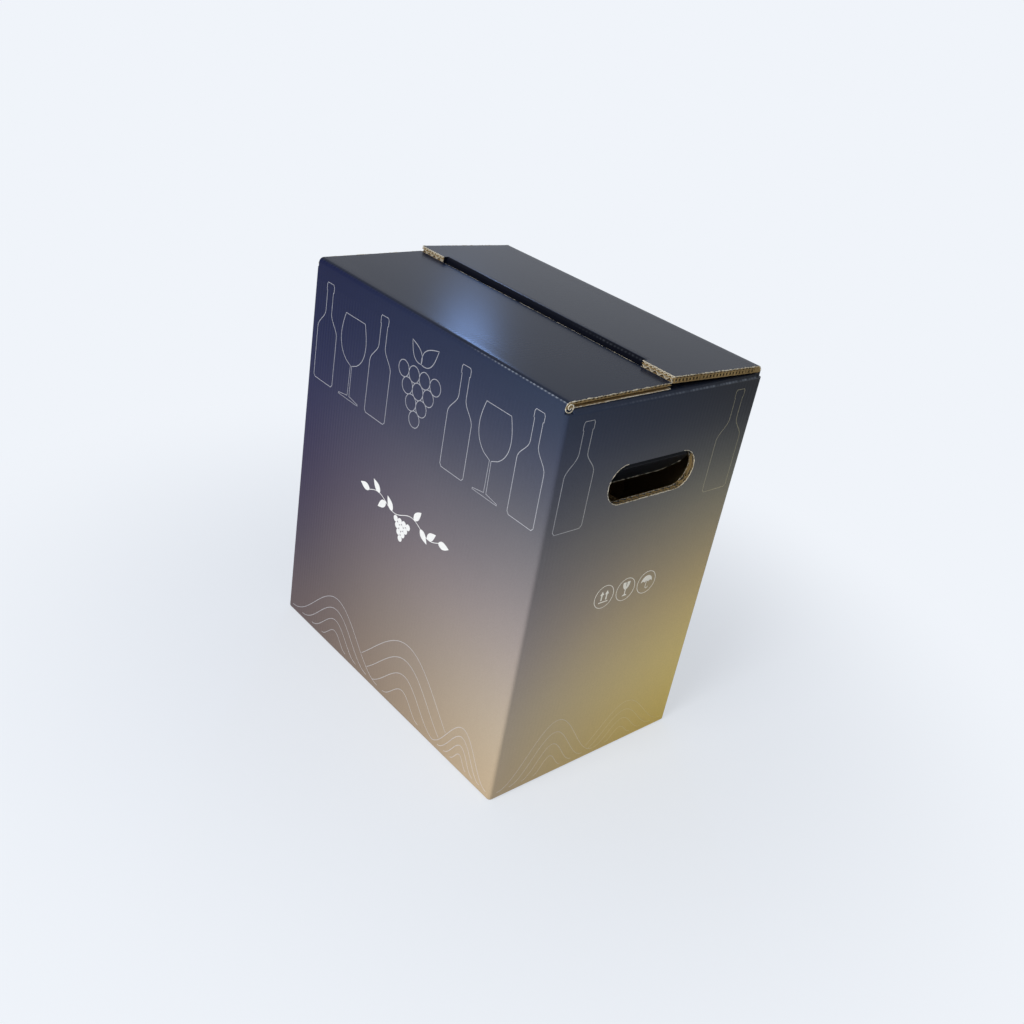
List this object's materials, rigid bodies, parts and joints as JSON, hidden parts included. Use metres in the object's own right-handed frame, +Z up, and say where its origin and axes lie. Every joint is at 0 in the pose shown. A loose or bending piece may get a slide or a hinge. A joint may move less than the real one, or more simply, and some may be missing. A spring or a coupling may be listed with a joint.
{
  "type": "wine bottle box",
  "caption": "Closed corrugated carton for wine bottles, with hinged top flaps, a tuck tab, push-in hand holes in the end walls and slotted dividers inside.",
  "frame": {"origin": "middle of the base, on the surface that the carton stands on", "axes": "+Z up, +X towards the right end wall with its hand hole, -Y towards the viewer of the large front wall"},
  "size_m": [0.286, 0.193, 0.3244],
  "materials": {
    "printed_board": "satin varnished print",
    "kraft_board": "plain brown kraft"
  },
  "bodies": {
    "carton": {"carton": "printed_board", "long_divider_1": "kraft_board", "cross_divider_1": "kraft_board", "cross_divider_2": "kraft_board"},
    "front_flap": {"front_flap": "printed_board"},
    "rear_flap": {"rear_flap": "printed_board"},
    "right_hand_flap": {"right_hand_flap": "printed_board"},
    "left_hand_flap": {"left_hand_flap": "printed_board"}
  },
  "joints": [
    {"name": "front_flap_fold", "type": "hinge", "parent": "carton", "child": "front_flap", "pos_m": [0, -0.09533, 0.31913], "axis": [1, 0, 0], "range_deg": [0, 220]},
    {"name": "rear_flap_fold", "type": "hinge", "parent": "carton", "child": "rear_flap", "pos_m": [0, 0.09533, 0.31913], "axis": [-1, 0, 0], "range_deg": [-2.5, 217.5]},
    {"name": "right_hand_flap_fold", "type": "hinge", "parent": "carton", "child": "right_hand_flap", "pos_m": [0.138, 0, 0.2663], "axis": [0, 1, 0], "range_deg": [-40, 100]},
    {"name": "left_hand_flap_fold", "type": "hinge", "parent": "carton", "child": "left_hand_flap", "pos_m": [-0.138, 0, 0.2663], "axis": [0, -1, 0], "range_deg": [-40, 100]}
  ]
}
